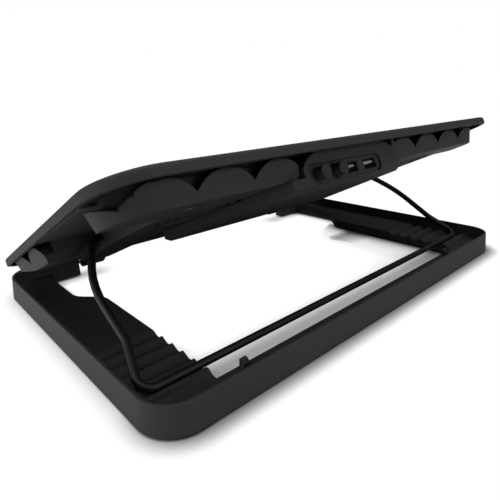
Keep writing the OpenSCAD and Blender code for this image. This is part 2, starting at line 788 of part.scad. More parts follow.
module control_panel() {
    color(dark) on_tray() difference() {
        facing_rear(box_rear - 3.2, 1.8) panel_plan(0);
        for (x = usb_x) {
            translate([x - usb_w / 2 - 0.1, box_rear - 10, panel_z - usb_h / 2 - 0.1])
                cube([usb_w + 0.2, 20, usb_h + 0.2]);
        }
        translate([knob_x, box_rear - 10, panel_z]) rotate([-90, 0, 0]) cylinder(h = 20, r = 3 + run_fit);
        translate([button_x, box_rear - 10, panel_z]) rotate([-90, 0, 0]) cylinder(h = 20, r = knob_r + gap);
    }
}

module speed_knob() {
    color(black) on_tray() translate([knob_x, box_rear, panel_z]) rotate([-90, 0, 0]) difference() {
        union() {
            translate([0, 0, -1]) cylinder(h = knob_out + 1, r = knob_r);
            translate([0, 0, -5.2]) cylinder(h = 5, r = 3);
            translate([0, 0, -8.2]) cylinder(h = 4, r = 1.5);
        }
        translate([-0.5, -knob_r, knob_out - 0.5]) cube([1, knob_r, 2]);
    }
}

module knob_control() {
    color(dark) on_tray() difference() {
        translate([knob_x - 5, box_rear - 14, board_top]) cube([10, 8, 8]);
        translate([knob_x, box_rear - 8.4, panel_z]) rotate([-90, 0, 0]) cylinder(h = 8, r = 1.5 + run_fit);
    }
}

module power_button() {
    color(black) on_tray() translate([button_x, box_rear, panel_z]) rotate([-90, 0, 0]) {
        translate([0, 0, -3.4]) cylinder(h = knob_out + 3.4, r = knob_r);
        translate([0, 0, -7.5]) cylinder(h = 5, r = 1.6);
    }
}

module button_switch() {
    color(dark) on_tray() difference() {
        translate([button_x - 4, box_rear - 15, board_top]) cube([8, 8.6, 7.4]);
        translate([button_x, box_rear - 7.5 - press - gap, panel_z]) rotate([-90, 0, 0])
            cylinder(h = 20, r = 1.6 + run_fit);
    }
}

module circuit_board() {
    color(green) on_tray() translate([board_x0, block_front + 4, board_top - board_t])
        cube([board_x1 - board_x0, box_rear - block_front - 10.2, board_t]);
}

module usb_shells() {
    color(steel) on_tray() for (x = usb_x) {
        difference() {
            translate([x - usb_w / 2, box_rear - 1.6 - usb_len, panel_z - usb_h / 2]) cube([usb_w, usb_len, usb_h]);
            translate([x - usb_w / 2 + 0.5, box_rear - 1.1 - usb_len, panel_z - usb_h / 2 + 0.5])
                cube([usb_w - 1, usb_len + 2, usb_h - 1]);
        }
    }
}

module usb_tongues() {
    color(white) on_tray() for (x = usb_x) {
        translate([x - 5.6, box_rear - 1.1 - usb_len, panel_z + 0.3]) cube([11.2, usb_len - 2, 1.9]);
        translate([x - usb_w / 2 + 0.5, box_rear - 1.1 - usb_len, panel_z - usb_h / 2 + 0.5])
            cube([usb_w - 1, 2, usb_h - 1]);
    }
}

module stop_piece() {
    difference() {
        union() {
            translate([0, 0, stop_z]) translate([-stop_w / 2, stop_y, -1.2]) cube([stop_w, stop_len, stop_t + 1.2]);
            translate([0, stop_y, stop_z]) rod(-stop_w / 2, stop_w / 2, stop_t);
        }
        translate([0, stop_y, stop_z]) rod(-stop_w, stop_w, stop_pin_r + run_fit);
        translate([-stop_w / 2 + 2, stop_y + 4, stop_z - 2]) cube([stop_w - 4, stop_len - 6, 2.4]);
    }
}

module stop_right() {
    color(dark) on_tray() translate([stop_x, 0, 0]) stop_piece();
}

module stop_left() {
    color(dark) on_tray() translate([-stop_x, 0, 0]) stop_piece();
}

module stop_pins() {
    color(steel) on_tray() for (s = [-1, 1]) {
        translate([0, stop_y, stop_z]) rod(s * stop_x - stop_w / 2 - 3.4, s * stop_x + stop_w / 2 + 3.4, stop_pin_r);
    }
}

module housing_screws() {
    color(steel) on_tray() for (p = screw_at) {
        translate([p[0], p[1], tub_bot + 0.2]) difference() {
            union() {
                cylinder(h = 1, r = head_r);
                cylinder(h = 9, r = screw_r);
            }
            translate([-2, -0.4, -1]) cube([4, 0.8, 1.5]);
            translate([-0.4, -2, -1]) cube([0.8, 4, 1.5]);
        }
    }
}

base_frame();
tooth_rack_right();
tooth_rack_left();
base_feet();
hinge_pins();
wire_stand();
lower_housing();
top_plate();
mesh_panel();
grip_pads();
fan_frame_right();
fan_frame_left();
fan_rotor_right();
fan_rotor_left();
fan_stators();
fan_leads();
control_box();
control_panel();
speed_knob();
knob_control();
power_button();
button_switch();
circuit_board();
usb_shells();
usb_tongues();
stop_right();
stop_left();
stop_pins();
housing_screws();
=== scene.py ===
"""Studio scene of a tilting laptop cooling pad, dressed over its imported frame."""

import logging
import math
from dataclasses import dataclass
from enum import Enum
from functools import partial
from typing import Callable

import bmesh
import bpy
from mathutils import Matrix, Vector
from mathutils.bvhtree import BVHTree


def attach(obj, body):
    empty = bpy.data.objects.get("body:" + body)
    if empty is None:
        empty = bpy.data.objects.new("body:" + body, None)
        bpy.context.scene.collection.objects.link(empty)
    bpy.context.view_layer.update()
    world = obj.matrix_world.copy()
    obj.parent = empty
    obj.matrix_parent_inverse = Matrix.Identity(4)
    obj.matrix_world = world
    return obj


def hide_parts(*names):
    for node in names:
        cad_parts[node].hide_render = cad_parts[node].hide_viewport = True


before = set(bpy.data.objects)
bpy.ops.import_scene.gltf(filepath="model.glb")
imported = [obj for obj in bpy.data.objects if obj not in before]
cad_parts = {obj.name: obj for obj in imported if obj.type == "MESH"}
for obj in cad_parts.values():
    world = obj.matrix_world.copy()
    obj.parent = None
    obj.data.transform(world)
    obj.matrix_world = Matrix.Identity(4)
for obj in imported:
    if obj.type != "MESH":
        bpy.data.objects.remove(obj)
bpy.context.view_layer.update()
MM = 0.001
# The tray's slope as photographed, in degrees.
SLOPE = 24.05
# Faces that meet at more than SHARP have a sharp edge, and at less than FLAT they are one face.
SHARP = math.radians(32.0)
FLAT = math.radians(1.0)
QUARTER_TURN = math.radians(90.0)
# Points of a node's mesh that lie closer than this are one, in metres.
WELD = 2e-6
# The span of a value that is either off or on.
MASK = (0.0, 1.0)

Value = float | bpy.types.NodeSocket

log = logging.getLogger("cooling_pad")


class Relief(Enum):
    """How the surface of a finish is broken up."""

    MOULD_GRAIN = "mould_grain"
    DRAWN_METAL = "drawn_metal"


@dataclass(frozen=True)
class Finish:
    """A finish of the pad and the values that its material takes."""

    name: str
    slot: str
    colour: tuple[float, float, float]
    roughness: float
    metallic: float = 0.0
    specular: float = 0.5
    coat: float = 0.0
    coat_roughness: float = 0.12
    relief: Relief = Relief.MOULD_GRAIN
    scale: float = 1500.0
    depth: float = 0.06
    grain_height: float = 0.4 * MM
    mottle: float = 0.15
    tint: tuple[float, float, float] = (1.0, 1.0, 1.0)

    def material(self) -> bpy.types.Material:
        """Returns the finish's material, made on first use."""
        found = bpy.data.materials.get(self.name)
        if found is not None:
            return found
        mat = bpy.data.materials.new(self.name)
        mat.use_nodes = True
        nodes, links = mat.node_tree.nodes, mat.node_tree.links
        shader = nodes["Principled BSDF"]
        shader.inputs["Metallic"].default_value = self.metallic
        shader.inputs["Specular IOR Level"].default_value = self.specular
        shader.inputs["Specular Tint"].default_value = (*self.tint, 1.0)
        shader.inputs["Coat Weight"].default_value = self.coat
        shader.inputs["Coat Roughness"].default_value = self.coat_roughness
        group = nodes.new("ShaderNodeGroup")
        group.node_tree = SurfaceEffects.tree(self.relief)
        group.inputs["Colour"].default_value = (*self.colour, 1.0)
        group.inputs["Roughness"].default_value = self.roughness
        group.inputs["Scale"].default_value = self.scale
        group.inputs["Mottle"].default_value = self.mottle
        bump = nodes.new("ShaderNodeBump")
        bump.inputs["Strength"].default_value = self.depth
        bump.inputs["Distance"].default_value = self.grain_height
        links.new(group.outputs["Colour"], shader.inputs["Base Color"])
        links.new(group.outputs["Roughness"], shader.inputs["Roughness"])
        links.new(group.outputs["Height"], bump.inputs["Height"])
        links.new(bump.outputs["Normal"], shader.inputs["Normal"])
        return mat


@dataclass(frozen=True)
class Grade:
    """A value that goes from off to on over a span of another value."""

    span: tuple[float, float]
    off: float
    on: float


class ShaderMaths:
    """Adds nodes that calculate to one node tree."""

    def __init__(self, tree: bpy.types.ShaderNodeTree) -> None:
        """Keeps the tree's nodes and links at hand.

        Args:
            tree: The tree.
        """
        self.nodes, self.links = tree.nodes, tree.links

    def feed(self, value: Value, socket: bpy.types.NodeSocket) -> None:
        """Gives an input its value.

        Args:
            value: A number, or the output that the input follows.
            socket: The input.
        """
        if isinstance(value, bpy.types.NodeSocket):
            self.links.new(value, socket)
        else:
            socket.default_value = value

    def grade(self, value: Value, span: tuple[float, float], off: Value,
              on: Value) -> bpy.types.NodeSocket:
        """Makes a value that goes from off to on over a span of another value.

        Args:
            value: The other value.
            span: Where the change starts and ends.
            off: The result at the start.
            on: The result at the end.

        Returns:
            The result's output.
        """
        step = self.nodes.new("ShaderNodeMapRange")
        given = {"Value": value, "From Min": span[0], "From Max": span[1],
                 "To Min": off, "To Max": on}
        for name, part in given.items():
            self.feed(part, step.inputs[name])
        return step.outputs["Result"]

    def follow(self, value: Value, grade: Grade) -> bpy.types.NodeSocket:
        """Makes a value that follows a grade.

        Args:
            value: The value that the grade runs over.
            grade: The grade.

        Returns:
            The result's output.
        """
        return self.grade(value, grade.span, grade.off, grade.on)

    def combine(self, operation: str, *values: Value) -> bpy.types.NodeSocket:
        """Combines values by a Math node.

        Args:
            operation: The node's operation.
            values: Its inputs.

        Returns:
            The result's output.
        """
        node = self.nodes.new("ShaderNodeMath")
        node.operation = operation
        for socket, value in zip(node.inputs, values):
            self.feed(value, socket)
        return node.outputs[0]


class SurfaceEffects:
    """Shader node groups that the finishes share."""

    INPUTS = {"Colour": "Color", "Roughness": "Float", "Scale": "Float", "Mottle": "Float"}
    OUTPUTS = {"Colour": "Color", "Roughness": "Float", "Height": "Float"}
    STRETCH = {Relief.MOULD_GRAIN: (1.0, 1.0, 1.0), Relief.DRAWN_METAL: (0.06, 1.0, 1.0)}
    GRAIN_DETAIL = 3.0
    MOTTLE_SCALE = 26.0
    MOTTLE_DETAIL = 4.0

    @classmethod
    def tree(cls, relief: Relief) -> bpy.types.ShaderNodeTree:
        """Gives the node group of a relief, made on first use.

        Args:
            relief: The kind of relief.

        Returns:
            The group, with the sockets of INPUTS and OUTPUTS.
        """
        found = bpy.data.node_groups.get(relief.value)
        if found is not None:
            return found
        tree = bpy.data.node_groups.new(relief.value, "ShaderNodeTree")
        for way, sockets in (("INPUT", cls.INPUTS), ("OUTPUT", cls.OUTPUTS)):
            for name, kind in sockets.items():
                tree.interface.new_socket(name=name, in_out=way, socket_type="NodeSocket" + kind)
        cls._fill(tree, cls.STRETCH[relief])
        return tree

    @classmethod
    def _fill(cls, tree: bpy.types.ShaderNodeTree, stretch: tuple[float, float, float]) -> None:
        """Lays out a group: fine grain for the relief, broad mottle for tone and gloss.

        Args:
            tree: The empty group.
            stretch: Scale of the grain along X, Y and Z.
        """
        nodes, links = tree.nodes, tree.links
        maths = ShaderMaths(tree)
        given, put = nodes.new("NodeGroupInput"), nodes.new("NodeGroupOutput")
        place = nodes.new("ShaderNodeTexCoord")
        mapping = nodes.new("ShaderNodeMapping")
        mapping.inputs["Scale"].default_value = stretch
        links.new(place.outputs["Object"], mapping.inputs["Vector"])
        grain = nodes.new("ShaderNodeTexNoise")
        grain.inputs["Detail"].default_value = cls.GRAIN_DETAIL
        links.new(mapping.outputs["Vector"], grain.inputs["Vector"])
        links.new(given.outputs["Scale"], grain.inputs["Scale"])
        broad = nodes.new("ShaderNodeTexNoise")
        broad.inputs["Scale"].default_value = cls.MOTTLE_SCALE
        broad.inputs["Detail"].default_value = cls.MOTTLE_DETAIL
        links.new(place.outputs["Object"], broad.inputs["Vector"])
        tone = maths.grade(broad.outputs["Fac"], MASK, -1.0, 1.0)
        lift = maths.combine("ADD", maths.combine("MULTIPLY", tone, given.outputs["Mottle"]), 1.0)
        shade = nodes.new("ShaderNodeVectorMath")
        shade.operation = "SCALE"
        links.new(given.outputs["Colour"], shade.inputs[0])
        links.new(lift, shade.inputs["Scale"])
        gloss = maths.combine("MULTIPLY", given.outputs["Roughness"], lift)
        gloss.node.use_clamp = True
        links.new(shade.outputs["Vector"], put.inputs["Colour"])
        links.new(gloss, put.inputs["Roughness"])
        links.new(grain.outputs["Fac"], put.inputs["Height"])


COOL = (0.76, 0.88, 1.0)
BASE_PLASTIC = Finish("base_plastic", "base_plastic", (0.0060, 0.0076, 0.0098), 0.27, tint=COOL)
TRAY_PLASTIC = Finish("tray_plastic", "tray_plastic", (0.0060, 0.0076, 0.0098), 0.27, tint=COOL)
FAN_PLASTIC = Finish("fan_plastic", "fan_plastic", (0.006, 0.006, 0.007), 0.4)
KNOB_PLASTIC = Finish("knob_plastic", "knob_plastic", (0.006, 0.006, 0.007), 0.3)
WIRE_PAINT = Finish(
    "wire_paint", "wire_paint", (0.002, 0.002, 0.003), 0.12, scale=700.0, depth=0.012)
MESH_PAINT = Finish("mesh_paint", "mesh_paint", (0.016, 0.016, 0.018), 0.38, scale=900.0)
RUBBER = Finish(
    "rubber", "rubber", (0.02, 0.02, 0.021), 0.75, specular=0.3, scale=900.0, depth=0.12)
STEEL = Finish(
    "steel", "steel", (0.62, 0.63, 0.65), 0.3,
    metallic=1.0, relief=Relief.DRAWN_METAL, depth=0.03)
# USB shells: metal darkened far below real nickel, painted shade of the recessed ports.
NICKEL_PAINTED_SHADE = Finish(
    "nickel_painted_shade", "steel", (0.06, 0.055, 0.045), 0.34,
    metallic=1.0, relief=Relief.DRAWN_METAL, depth=0.03)
COIL = Finish(
    "coil", "coil", (0.6, 0.28, 0.12), 0.35,
    metallic=1.0, relief=Relief.DRAWN_METAL, scale=2500.0)
BOARD = Finish("board", "board", (0.03, 0.12, 0.06), 0.3, coat=0.2)
TONGUE = Finish("tongue", "tongue", (0.82, 0.78, 0.66), 0.3, depth=0.02, mottle=0.05)


def place_piece(node: str, bm: bmesh.types.BMesh, body: str, finish: Finish) -> None:
    """Turns a finished bmesh into the piece that stands for a node.

    Args:
        node: The node's name.
        bm: The piece's mesh, in the row frame; it is freed.
        body: The body that it rides on.
        finish: Its finish.
    """
    name = node + "_piece"
    mesh = bpy.data.meshes.new(name)
    for face in bm.faces:
        face.smooth = True
    bm.to_mesh(mesh)
    bm.free()
    mesh.set_sharp_from_angle(angle=SHARP)
    mesh.materials.append(finish.material())
    obj = bpy.data.objects.new(name, mesh)
    bpy.context.scene.collection.objects.link(obj)
    even = obj.modifiers.new("even_shading", "WEIGHTED_NORMAL")
    even.keep_sharp = True
    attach(obj, body)
    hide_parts(node)
    log.info("%s rides on %s", name, body)


def merged_copy(node: str) -> bmesh.types.BMesh:
    """Copies a node's mesh with its doubles merged.

    Args:
        node: The node's name.

    Returns:
        The copy.
    """
    bm = bmesh.new()
    bm.from_mesh(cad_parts[node].data)
    bmesh.ops.remove_doubles(bm, verts=bm.verts, dist=WELD)
    return bm


def only(geom: list, kind: type) -> list:
    """Picks one kind of element out of an operator's result.

    Args:
        geom: The result.
        kind: The kind, such as BMVert.

    Returns:
        The elements of that kind.
    """
    return [g for g in geom if isinstance(g, kind)]


def join_flat(bm: bmesh.types.BMesh) -> None:
    """Joins the faces that lie in one plane.

    Args:
        bm: The mesh.
    """
    bmesh.ops.dissolve_limit(bm, angle_limit=FLAT, verts=bm.verts, edges=bm.edges)


def split_large(bm: bmesh.types.BMesh) -> None:
    """Splits the faces with more than four corners into triangles.

    Args:
        bm: The mesh.
    """
    bmesh.ops.triangulate(bm, faces=[f for f in bm.faces if len(f.verts) > 4])


def round_edges(bm: bmesh.types.BMesh, edges: list, width: float, segments: int) -> None:
    """Rounds edges of a mesh.

    Args:
        bm: The mesh.
        edges: The edges.
        width: How far the round reaches from each edge.
        segments: How many faces go round it.
    """
    bmesh.ops.bevel(
        bm, geom=edges, offset=width, offset_type="OFFSET", affect="EDGES",
        segments=segments, profile=0.5, material=-1, clamp_overlap=False,
    )


@dataclass(frozen=True)
class Easing:
    """Rounding of the sharp edges of a moulded piece.

    A face is at fault where its normal's share along the solid's is under
    turned, or where it lies more than stray widths and slack off the solid.
    """

    width: float
    segments: int = 2
    rounds: int = 6
    turned: float = -0.2
    stray: float = 1.3
    slack: float = 1e-5
    reach: float = 2.0
    least_area: float = 1e-10
    least_length_squared: float = 1e-18
    key_digits: int = 6

    def apply(self, name: str, make: Callable[[], bmesh.types.BMesh]) -> bmesh.types.BMesh:
        """Eases the edges of a mesh, leaving out those that have no room.

        Args:
            name: What the mesh is, for the log.
            make: Makes a fresh copy of the mesh.

        Returns:
            The eased mesh, or a plain copy if no round of tries is clean.
        """
        bm = make()
        if self.width <= 0.0:
            return bm
        surface = BVHTree.FromBMesh(bm)
        held: set[tuple[float, ...]] = set()
        for _ in range(self.rounds):
            edges = self._bevel(bm, held)
            spots = self._faults(bm, surface)
            if not spots:
                return bm
            held |= {key for key, a, b in edges if any(self._near(p, a, b) for p in spots)}
            bm.free()
            bm = make()
        log.warning("%s keeps its sharp edges", name)
        return bm

    def _bevel(self, bm: bmesh.types.BMesh, held: set[tuple[float, ...]]) -> list:
        """Bevels the sharp edges of a mesh.

        Args:
            bm: The mesh.
            held: Keys of the edges that stay sharp.

        Returns:
            The key and the ends of each edge that was bevelled.
        """
        join_flat(bm)
        sharp, edges = [], []
        for edge in bm.edges:
            a, b = (v.co.copy() for v in edge.verts)
            key = tuple(round(v, self.key_digits) for v in (a + b) / 2.0)
            if len(edge.link_faces) == 2 and edge.calc_face_angle(0.0) > SHARP and key not in held:
                sharp.append(edge)
                edges.append((key, a, b))
        round_edges(bm, sharp, self.width, self.segments)
        split_large(bm)
        return edges

    def _faults(self, bm: bmesh.types.BMesh, surface: BVHTree) -> list[Vector]:
        """Finds the faces that the bevel turned over or threw off the solid.

        Args:
            bm: The bevelled copy.
            surface: The solid's surface.

        Returns:
            Points of the faces at fault.
        """
        spots = []
        farthest = self.stray * self.width + self.slack
        for face in bm.faces:
            if face.calc_area() < self.least_area:
                continue
            middle = face.calc_center_median()
            _, normal, _, gap = surface.find_nearest(middle)
            if face.normal.dot(normal) < self.turned or gap > farthest:
                spots += [middle] + [v.co.copy() for v in face.verts]
        return spots

    def _near(self, point: Vector, a: Vector, b: Vector) -> bool:
        """Says whether a point lies within reach of an edge, counted in widths.

        Args:
            point: The point.
            a: One end of the edge.
            b: Its other end.

        Returns:
            True if it does.
        """
        along = b - a
        length_squared = max(along.length_squared, self.least_length_squared)
        share = max(0.0, min(1.0, (point - a).dot(along) / length_squared))
        return (point - a - share * along).length < self.reach * self.width


@dataclass
class DressedNodes:
    """Nodes of one body that keep their solids' shape, each with a finish and an easing width."""

    body: str
    finishes: dict[str, tuple[Finish, float]]

    def build(self) -> None:
        """Builds and dresses one piece for each node."""
        for node, (finish, width) in self.finishes.items():
            bm = Easing(width).apply(node, partial(merged_copy, node))
            place_piece(node, bm, self.body, finish)


@dataclass
class WireStand:
    """The bent wire that holds the tray up, in millimetres.

    It is drawn in its own plane from the bar's middle to the arm's end. Each
    bend is its corner's place across and along the arm, and its radius.
    """

    pivot: tuple[float, float] = (-7.667, 64.779)
    bar: tuple[float, float] = (88.1, 9.65)
    radius: float = 2.5
    sides: int = 28
    bends: tuple[tuple[float, float, float], ...] = (
        (181.0, 0.0, 8.0), (172.0, -31.0, 10.0), (172.0, -76.5, 75.0), (154.5, -110.5, 7.0),
    )
    end: tuple[float, float] = (138.6, -110.5)
    step_degrees: float = 6.0
    least_steps: int = 4
    weld: float = 1e-4

    def half(self) -> bmesh.types.BMesh:
        """Draws half of the wire, straight runs extruded and bends spun.

        Returns:
            The half wire, with the bar along X.
        """
        bm = bmesh.new()
        ring = bmesh.ops.create_circle(
            bm, segments=self.sides, radius=self.radius,
            matrix=Matrix.Rotation(QUARTER_TURN, 4, "Y"),
        )
        edges = list({e for v in ring["verts"] for e in v.link_edges})
        here = Vector((0.0, 0.0, 0.0))
        stops = [Vector((x, a, 0.0)) for x, a, _ in self.bends] + [Vector((*self.end, 0.0))]
        for stop, after, (_, _, radius) in zip(stops, stops[1:], self.bends):
            ahead, onward = (stop - here).normalized(), (after - stop).normalized()
            turn = ahead.angle(onward)
            trim = radius * math.tan(turn / 2.0)
            start = stop - ahead * trim
            edges = self._run(bm, edges, start - here)
            axis = ahead.cross(onward).normalized()
            spun = bmesh.ops.spin(
                bm, geom=edges, cent=start + axis.cross(ahead) * radius, axis=axis, angle=turn,
                steps=max(self.least_steps, round(math.degrees(turn) / self.step_degrees)),
            )
            edges = only(spun["geom_last"], bmesh.types.BMEdge)
            here = stop + onward * trim
        edges = self._run(bm, edges, stops[-1] - here)
        bmesh.ops.contextual_create(bm, geom=edges)
        return bm

    @staticmethod
    def _run(bm: bmesh.types.BMesh, edges: list, shift: Vector) -> list:
        """Extrudes a ring along a straight run.

        Args:
            bm: The mesh.
            edges: The ring's edges.
            shift: The run.

        Returns:
            The edges of the new ring.
        """
        made = bmesh.ops.extrude_edge_only(bm, edges=edges)["geom"]
        verts = only(made, bmesh.types.BMVert)
        bmesh.ops.translate(bm, vec=shift, verts=verts)
        return [e for e in only(made, bmesh.types.BMEdge) if set(e.verts) <= set(verts)]

    def build(self) -> None:
        """Builds the wire."""
        bm = self.half()
        whole = bm.verts[:] + bm.edges[:] + bm.faces[:]
        bmesh.ops.mirror(bm, geom=whole, axis="X", merge_dist=self.weld)
        bmesh.ops.remove_doubles(bm, verts=bm.verts, dist=self.weld)
        bmesh.ops.recalc_face_normals(bm, faces=bm.faces)
        along = Vector(self.bar) - Vector(self.pivot)
        lean = Matrix.Rotation(math.atan2(along.y, along.x), 4, "X")
        bm.transform(Matrix.Scale(MM, 4) @ Matrix.Translation((0.0, *self.bar)) @ lean)
        place_piece("wire_stand", bm, "stand", WIRE_PAINT)


@dataclass
class ToothRack:
    """The toothed part of one rail, with rounded teeth, in millimetres."""

    node: str
    side: int
    rear: float = 88.0
    pitch: float = 11.6
    count: int = 5
    top: float = 9.4
    depth: float = 2.6
    floor: float = 3.4
    front: float = 5.2
    back: float = 2.2
    inner: float = 141.7
    outer: float = 186.2
    first: float = 34.7
    last: float = 95.0
    foot: float = 1.5
    wall: float = 1.8
    hollow: float = 3.5
    tip: float = 0.38
    root: float = 0.2
    segments: int = 4
    facing: float = 0.9
    near: float = 0.1
    level: float = 1e-4
    least_run: float = 1.0

    def outline(self) -> list[tuple[float, float]]:
        """Returns the corners of the rack's profile in Y and Z."""
        low = self.top - self.depth
        corners = [(self.first, self.foot)]
        for i in reversed(range(self.count)):
            middle = self.rear - i * self.pitch
            corners.append((middle - self.floor / 2.0 - self.front, self.top))
            corners.append((middle - self.floor / 2.0, low))
            corners.append((middle + self.floor / 2.0, low))
            corners.append((middle + self.floor / 2.0 + self.back, self.top))
        return corners + [(self.last, self.top), (self.last, self.foot)]

    def _across(self, bm: bmesh.types.BMesh, height: float) -> list:
        """Finds the edges that run along X at a height.

        Args:
            bm: The mesh.
            height: The height.

        Returns:
            The edges.
        """
        return [e for e in bm.edges
                if abs(e.verts[0].co.x - e.verts[1].co.x) > self.least_run
                and all(abs(v.co.z - height) < self.level for v in e.verts)]

    def build(self) -> None:
        """Builds the rack: the profile extruded along X, its tips and roots rounded."""
        bm = bmesh.new()
        start, reach = self.side * self.inner, self.side * (self.outer - self.inner)
        face = bm.faces.new([bm.verts.new((start, y, z)) for y, z in self.outline()])
        made = bmesh.ops.extrude_face_region(bm, geom=[face], use_keep_orig=True)["geom"]
        bmesh.ops.translate(bm, vec=(reach, 0.0, 0.0), verts=only(made, bmesh.types.BMVert))
        bmesh.ops.recalc_face_normals(bm, faces=bm.faces)
        under = [f for f in bm.faces if f.normal.z < -self.facing
                 and f.calc_center_median().z < self.foot + self.near]
        bmesh.ops.inset_individual(bm, faces=under, thickness=self.wall, depth=-self.hollow)
        for height, width in ((self.top, self.tip), (self.top - self.depth, self.root)):
            round_edges(bm, self._across(bm, height), width, self.segments)
        bm.transform(Matrix.Scale(MM, 4))
        place_piece(self.node, bm, "base", BASE_PLASTIC)


@dataclass
class TopPlate:
    """The plate that carries the laptop, with a well rounded top edge."""

    node: str = "top_plate"
    edge_round: float = 2.2 * MM
    segments: int = 5
    ease: float = 0.4 * MM
    level: float = 1e-5
    upright: float = 0.3
    outward: float = 0.1

    def rounded(self) -> bmesh.types.BMesh:
        """Copies the plate and rounds the top of its outer edge.

        Returns:
            The copy.
        """
        bm = merged_copy(self.node)
        join_flat(bm)
        slope = math.radians(SLOPE)
        up = Vector((0.0, -math.sin(slope), math.cos(slope)))
        middle = sum((v.co for v in bm.verts), Vector()) / len(bm.verts)
        highest = max(v.co.dot(up) for v in bm.verts)
        outer = []
        for edge in bm.edges:
            spot = (edge.verts[0].co + edge.verts[1].co) / 2.0
            if len(edge.link_faces) != 2 or spot.dot(up) < highest - self.level:
                continue
            walls = [f.normal for f in edge.link_faces if abs(f.normal.dot(up)) < self.upright]
            if len(walls) == 1 and walls[0].dot(spot - middle) > self.outward:
                outer.append(edge)
        round_edges(bm, outer, self.edge_round, self.segments)
        split_large(bm)
        return bm

    def build(self) -> None:
        """Builds the plate."""
        bm = Easing(self.ease).apply(self.node, self.rounded)
        place_piece(self.node, bm, "tray", TRAY_PLASTIC)


@dataclass
class ControlPeg:
    """A turned peg of the control panel, with a shallow dish in its face."""

    node: str
    body: str
    x: float
    radius: float = 4.4 * MM
    out: float = 5.4 * MM
    root: float = 3.4 * MM
    ease: float = 0.7 * MM
    ease_steps: int = 6
    dish_at: float = 0.6
    dish_depth: float = 0.12 * MM
    dish_middle: float = 0.2 * MM
    sides: int = 40
    weld: float = 1e-7
    rear: tuple[float, float] = (232.4 * MM, -3.05 * MM)
    hinge: tuple[float, float] = (-114.0 * MM, 13.5 * MM)

    def profile(self) -> list[tuple[float, float]]:
        """Returns the points of the peg's profile, as radius and height."""
        turns = [i * QUARTER_TURN / self.ease_steps for i in range(self.ease_steps + 1)]
        rim = [(self.radius - self.ease * (1.0 - math.cos(turn)),
                self.out - self.ease * (1.0 - math.sin(turn))) for turn in turns]
        dish = [(self.dish_at * self.radius, self.out - self.dish_depth),
                (0.0, self.out - self.dish_middle)]
        return [(0.0, -self.root), (self.radius, -self.root)] + rim + dish

    def build(self) -> None:
        """Builds the peg: its profile spun about its axis."""
        bm = bmesh.new()
        verts = [bm.verts.new((radius, 0.0, height)) for radius, height in self.profile()]
        edges = [bm.edges.new(pair) for pair in zip(verts, verts[1:])]
        bmesh.ops.spin(
            bm, geom=verts + edges, cent=(0, 0, 0), axis=(0, 0, 1), angle=2.0 * math.pi,
            steps=self.sides, use_merge=True,
        )
        bmesh.ops.remove_doubles(bm, verts=bm.verts, dist=self.weld)
        bmesh.ops.recalc_face_normals(bm, faces=bm.faces)
        tilt = Matrix.Rotation(math.radians(SLOPE), 4, "X")
        hinge = Matrix.Translation((self.x, *self.hinge))
        place = hinge @ tilt @ Matrix.Translation((0.0, *self.rear))
        bm.transform(place @ Matrix.Rotation(-QUARTER_TURN, 4, "X"))
        place_piece(self.node, bm, self.body, KNOB_PLASTIC)


